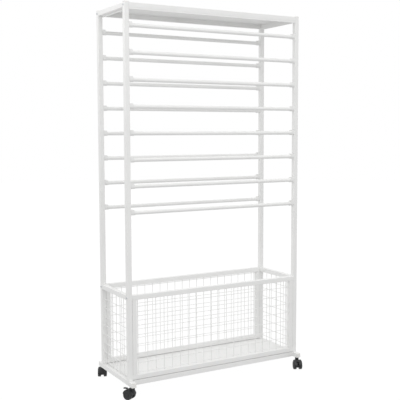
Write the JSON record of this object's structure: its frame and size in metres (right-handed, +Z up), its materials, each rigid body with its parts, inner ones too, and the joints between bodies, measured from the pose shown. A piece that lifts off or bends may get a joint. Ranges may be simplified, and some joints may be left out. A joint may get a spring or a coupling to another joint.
{
  "type": "rolling rod rack",
  "caption": "Tall rolling rack of white square tube with lift-out rods front and rear for goods on rolls, a sheet top shelf, a wire-mesh basket and swivel casters.",
  "frame": {"origin": "on the floor, under the middle of the four posts", "axes": "+Z up, +X to the right seen from the front, -Y towards the front"},
  "size_m": [0.8996, 0.4124, 1.6],
  "materials": {
    "white_powder_coat": "satin white powder coat with a fine orange-peel texture",
    "white_plastic": "matt moulded white plastic",
    "zinc_steel": "bright zinc plating",
    "black_nylon": "satin moulded black nylon"
  },
  "bodies": {
    "frame": {"post_front_left": "white_powder_coat", "post_front_right": "white_powder_coat", "post_rear_left": "white_powder_coat", "post_rear_right": "white_powder_coat", "top_rail_front": "white_powder_coat", "top_rail_rear": "white_powder_coat", "top_rail_left": "white_powder_coat", "top_rail_right": "white_powder_coat", "basket_rail_left": "white_powder_coat", "basket_rail_right": "white_powder_coat", "base_rail_front": "white_powder_coat", "base_rail_rear": "white_powder_coat", "base_rail_left": "white_powder_coat", "base_rail_right": "white_powder_coat", "post_caps": "white_plastic", "base_end_plugs": "white_plastic", "basket_frame_front": "white_powder_coat", "basket_frame_rear": "white_powder_coat", "wire_mesh_front": "white_powder_coat", "wire_mesh_rear": "white_powder_coat", "wire_mesh_left": "white_powder_coat", "wire_mesh_right": "white_powder_coat", "top_shelf": "white_powder_coat", "tray_floor": "white_powder_coat", "rod_cradles_front": "white_powder_coat", "rod_cradles_rear": "white_powder_coat", "frame_screws": "zinc_steel", "threaded_inserts": "zinc_steel", "caster_stems": "zinc_steel", "stem_nuts": "zinc_steel"},
    "rod_front_1": {"rod_front_1": "white_powder_coat"},
    "rod_front_2": {"rod_front_2": "white_powder_coat"},
    "rod_front_3": {"rod_front_3": "white_powder_coat"},
    "rod_front_4": {"rod_front_4": "white_powder_coat"},
    "rod_front_5": {"rod_front_5": "white_powder_coat"},
    "rod_front_6": {"rod_front_6": "white_powder_coat"},
    "rod_front_7": {"rod_front_7": "white_powder_coat"},
    "rod_front_8": {"rod_front_8": "white_powder_coat"},
    "rod_rear_1": {"rod_rear_1": "white_powder_coat"},
    "rod_rear_2": {"rod_rear_2": "white_powder_coat"},
    "rod_rear_3": {"rod_rear_3": "white_powder_coat"},
    "rod_rear_4": {"rod_rear_4": "white_powder_coat"},
    "rod_rear_5": {"rod_rear_5": "white_powder_coat"},
    "rod_rear_6": {"rod_rear_6": "white_powder_coat"},
    "rod_rear_7": {"rod_rear_7": "white_powder_coat"},
    "rod_rear_8": {"rod_rear_8": "white_powder_coat"},
    "caster_front_left": {"caster_housing_front_left": "black_nylon"},
    "wheel_set_front_left": {"caster_wheels_front_left": "black_nylon", "caster_axle_front_left": "zinc_steel"},
    "brake_lever_left": {"brake_lever_left": "black_nylon"},
    "caster_front_right": {"caster_housing_front_right": "black_nylon"},
    "wheel_set_front_right": {"caster_wheels_front_right": "black_nylon", "caster_axle_front_right": "zinc_steel"},
    "brake_lever_right": {"brake_lever_right": "black_nylon"},
    "caster_rear_left": {"caster_housing_rear_left": "black_nylon"},
    "wheel_set_rear_left": {"caster_wheels_rear_left": "black_nylon", "caster_axle_rear_left": "zinc_steel"},
    "caster_rear_right": {"caster_housing_rear_right": "black_nylon"},
    "wheel_set_rear_right": {"caster_wheels_rear_right": "black_nylon", "caster_axle_rear_right": "zinc_steel"}
  },
  "joints": [
    {"name": "rod_front_1_lift", "type": "slide", "parent": "frame", "child": "rod_front_1", "axis": [0, 0, 1], "range_m": [0, 0.04]},
    {"name": "rod_front_2_lift", "type": "slide", "parent": "frame", "child": "rod_front_2", "axis": [0, 0, 1], "range_m": [0, 0.04]},
    {"name": "rod_front_3_lift", "type": "slide", "parent": "frame", "child": "rod_front_3", "axis": [0, 0, 1], "range_m": [0, 0.04]},
    {"name": "rod_front_4_lift", "type": "slide", "parent": "frame", "child": "rod_front_4", "axis": [0, 0, 1], "range_m": [0, 0.04]},
    {"name": "rod_front_5_lift", "type": "slide", "parent": "frame", "child": "rod_front_5", "axis": [0, 0, 1], "range_m": [0, 0.04]},
    {"name": "rod_front_6_lift", "type": "slide", "parent": "frame", "child": "rod_front_6", "axis": [0, 0, 1], "range_m": [0, 0.04]},
    {"name": "rod_front_7_lift", "type": "slide", "parent": "frame", "child": "rod_front_7", "axis": [0, 0, 1], "range_m": [0, 0.04]},
    {"name": "rod_front_8_lift", "type": "slide", "parent": "frame", "child": "rod_front_8", "axis": [0, 0, 1], "range_m": [0, 0.04]},
    {"name": "rod_rear_1_lift", "type": "slide", "parent": "frame", "child": "rod_rear_1", "axis": [0, 0, 1], "range_m": [0, 0.04]},
    {"name": "rod_rear_2_lift", "type": "slide", "parent": "frame", "child": "rod_rear_2", "axis": [0, 0, 1], "range_m": [0, 0.04]},
    {"name": "rod_rear_3_lift", "type": "slide", "parent": "frame", "child": "rod_rear_3", "axis": [0, 0, 1], "range_m": [0, 0.04]},
    {"name": "rod_rear_4_lift", "type": "slide", "parent": "frame", "child": "rod_rear_4", "axis": [0, 0, 1], "range_m": [0, 0.04]},
    {"name": "rod_rear_5_lift", "type": "slide", "parent": "frame", "child": "rod_rear_5", "axis": [0, 0, 1], "range_m": [0, 0.04]},
    {"name": "rod_rear_6_lift", "type": "slide", "parent": "frame", "child": "rod_rear_6", "axis": [0, 0, 1], "range_m": [0, 0.04]},
    {"name": "rod_rear_7_lift", "type": "slide", "parent": "frame", "child": "rod_rear_7", "axis": [0, 0, 1], "range_m": [0, 0.04]},
    {"name": "rod_rear_8_lift", "type": "slide", "parent": "frame", "child": "rod_rear_8", "axis": [0, 0, 1], "range_m": [0, 0.04]},
    {"name": "caster_swivel_front_left", "type": "hinge", "parent": "frame", "child": "caster_front_left", "pos_m": [-0.415, -0.163, 0.045], "axis": [0, 0, 1], "continuous": true},
    {"name": "wheel_roll_front_left", "type": "hinge", "parent": "caster_front_left", "child": "wheel_set_front_left", "pos_m": [-0.42376, -0.14843, 0.02], "axis": [-0.8572, -0.515, 0], "continuous": true},
    {"name": "brake_press_left", "type": "hinge", "parent": "caster_front_left", "child": "brake_lever_left", "pos_m": [-0.42967, -0.13858, 0.02964], "axis": [-0.8572, -0.515, 0], "range_deg": [0, 20]},
    {"name": "caster_swivel_front_right", "type": "hinge", "parent": "frame", "child": "caster_front_right", "pos_m": [0.415, -0.163, 0.045], "axis": [0, 0, 1], "continuous": true},
    {"name": "wheel_roll_front_right", "type": "hinge", "parent": "caster_front_right", "child": "wheel_set_front_right", "pos_m": [0.40755, -0.17828, 0.02], "axis": [0.8988, -0.4384, 0], "continuous": true},
    {"name": "brake_press_right", "type": "hinge", "parent": "caster_front_right", "child": "brake_lever_right", "pos_m": [0.40251, -0.18861, 0.02964], "axis": [0.8988, -0.4384, 0], "range_deg": [0, 20]},
    {"name": "caster_swivel_rear_left", "type": "hinge", "parent": "frame", "child": "caster_rear_left", "pos_m": [-0.415, 0.163, 0.045], "axis": [0, 0, 1], "continuous": true},
    {"name": "wheel_roll_rear_left", "type": "hinge", "parent": "caster_rear_left", "child": "wheel_set_rear_left", "pos_m": [-0.40755, 0.17828, 0.02], "axis": [-0.8988, 0.4384, 0], "continuous": true},
    {"name": "caster_swivel_rear_right", "type": "hinge", "parent": "frame", "child": "caster_rear_right", "pos_m": [0.415, 0.163, 0.045], "axis": [0, 0, 1], "continuous": true},
    {"name": "wheel_roll_rear_right", "type": "hinge", "parent": "caster_rear_right", "child": "wheel_set_rear_right", "pos_m": [0.42376, 0.14843, 0.02], "axis": [0.8572, 0.515, 0], "continuous": true}
  ]
}
